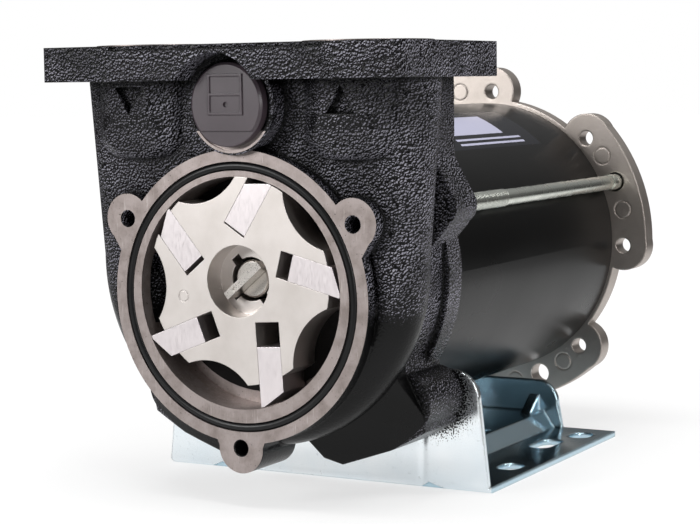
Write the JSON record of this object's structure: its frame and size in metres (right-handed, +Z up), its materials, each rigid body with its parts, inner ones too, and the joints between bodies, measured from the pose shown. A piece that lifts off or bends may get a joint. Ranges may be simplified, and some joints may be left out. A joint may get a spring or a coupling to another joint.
{
  "type": "diesel transfer pump",
  "caption": "Vane-type fuel transfer pump with open cover, cast body, bypass valve, ported top flange, round electric motor and sheet-metal foot.",
  "frame": {"origin": "centre of the ring that the cover is screwed to, in the plane of its machined face", "axes": "+Y back along the shaft to the motor, +Z up to the ported flange, +X to the right seen from the open front"},
  "size_m": [0.1306, 0.2186, 0.1437],
  "materials": {
    "cast_body": "black textured paint on cast iron, with bare machined faces",
    "seal_rubber": "smooth moulded rubber",
    "ground_steel": "ground steel",
    "sintered_steel": "sintered and ground steel",
    "vane_steel": "ground steel",
    "bearing_steel": "polished rings with pressed shields",
    "cap_plastic": "glass-filled plastic",
    "spring_steel": "drawn wire",
    "poppet_brass": "turned brass",
    "tube_paint": "satin black paint",
    "ferrite": "sintered ferrite",
    "lamination_steel": "stacked laminations",
    "copper_wire": "enamelled copper wire",
    "commutator_copper": "turned copper",
    "holder_resin": "pressed phenolic board",
    "carbon": "pressed carbon",
    "cast_aluminium": "as-cast aluminium",
    "zinc_steel": "bright zinc plating",
    "gland_plastic": "moulded nylon",
    "zinc_sheet": "blue-bright zinc plating on pressed sheet"
  },
  "bodies": {
    "pump": {"pump_body": "cast_body", "cover_o_ring": "seal_rubber", "shaft_seal": "seal_rubber", "front_bearing": "bearing_steel", "rear_bearing": "bearing_steel", "bypass_cap": "cap_plastic", "cap_o_ring": "seal_rubber", "bypass_spring": "spring_steel", "motor_tube": "tube_paint", "field_magnets": "ferrite", "brush_holder": "holder_resin", "brush_spring_left": "spring_steel", "brush_spring_right": "spring_steel", "end_shield": "cast_aluminium", "tie_rods": "zinc_steel", "tie_rod_nuts": "zinc_steel", "shield_screw": "zinc_steel", "cable_gland": "gland_plastic", "foot_bracket": "zinc_sheet", "foot_screws": "zinc_steel"},
    "rotating_group": {"motor_shaft": "ground_steel", "rotor": "sintered_steel", "drive_key": "ground_steel", "armature_core": "lamination_steel", "armature_windings": "copper_wire", "commutator": "commutator_copper"},
    "side_disc": {"side_disc": "ground_steel"},
    "poppet": {"bypass_poppet": "poppet_brass"},
    "brush_left": {"brush_left": "carbon"},
    "brush_right": {"brush_right": "carbon"},
    "vane_1": {"vane_1": "vane_steel"},
    "vane_2": {"vane_2": "vane_steel"},
    "vane_3": {"vane_3": "vane_steel"},
    "vane_4": {"vane_4": "vane_steel"},
    "vane_5": {"vane_5": "vane_steel"}
  },
  "joints": [
    {"name": "shaft_spin", "type": "hinge", "parent": "pump", "child": "rotating_group", "pos_m": [0, 0, 0.00495], "axis": [0, -1, 0], "continuous": true},
    {"name": "disc_spin", "type": "hinge", "parent": "pump", "child": "side_disc", "pos_m": [-0.00033, 0.0135, 0.00308], "axis": [0, -1, 0], "continuous": true},
    {"name": "vane_1_slide", "type": "hinge", "parent": "side_disc", "child": "vane_1", "pos_m": [-0.00189, 0.0065, 0.00199], "axis": [0, -1, 0], "continuous": true},
    {"name": "vane_2_slide", "type": "hinge", "parent": "side_disc", "child": "vane_2", "pos_m": [0.00158, 0.0065, 0.00304], "axis": [0, -1, 0], "continuous": true},
    {"name": "vane_3_slide", "type": "hinge", "parent": "side_disc", "child": "vane_3", "pos_m": [-0.00185, 0.0065, 0.00422], "axis": [0, -1, 0], "continuous": true},
    {"name": "vane_4_slide", "type": "hinge", "parent": "side_disc", "child": "vane_4", "pos_m": [0.00023, 0.0065, 0.00125], "axis": [0, -1, 0], "continuous": true},
    {"name": "vane_5_slide", "type": "hinge", "parent": "side_disc", "child": "vane_5", "pos_m": [0.00029, 0.0065, 0.00487], "axis": [0, -1, 0], "continuous": true},
    {"name": "bypass_lift", "type": "slide", "parent": "pump", "child": "poppet", "axis": [0, -1, 0], "range_m": [0, 0.004], "stiffness_N_per_m": 800, "springref_m": -0.006, "deforming": ["bypass_spring"]},
    {"name": "brush_left_slide", "type": "slide", "parent": "pump", "child": "brush_left", "axis": [-1, 0, 0], "range_m": [0, 0.006], "stiffness_N_per_m": 150, "springref_m": -0.004, "deforming": ["brush_spring_left"]},
    {"name": "brush_right_slide", "type": "slide", "parent": "pump", "child": "brush_right", "axis": [1, 0, 0], "range_m": [0, 0.006], "stiffness_N_per_m": 150, "springref_m": -0.004, "deforming": ["brush_spring_right"]}
  ],
  "couplings": [
    {"joint": "disc_spin", "follows": "shaft_spin", "ratio": 2},
    {"joint": "vane_1_slide", "follows": "shaft_spin", "ratio": -1},
    {"joint": "vane_2_slide", "follows": "shaft_spin", "ratio": -1},
    {"joint": "vane_3_slide", "follows": "shaft_spin", "ratio": -1},
    {"joint": "vane_4_slide", "follows": "shaft_spin", "ratio": -1},
    {"joint": "vane_5_slide", "follows": "shaft_spin", "ratio": -1}
  ]
}
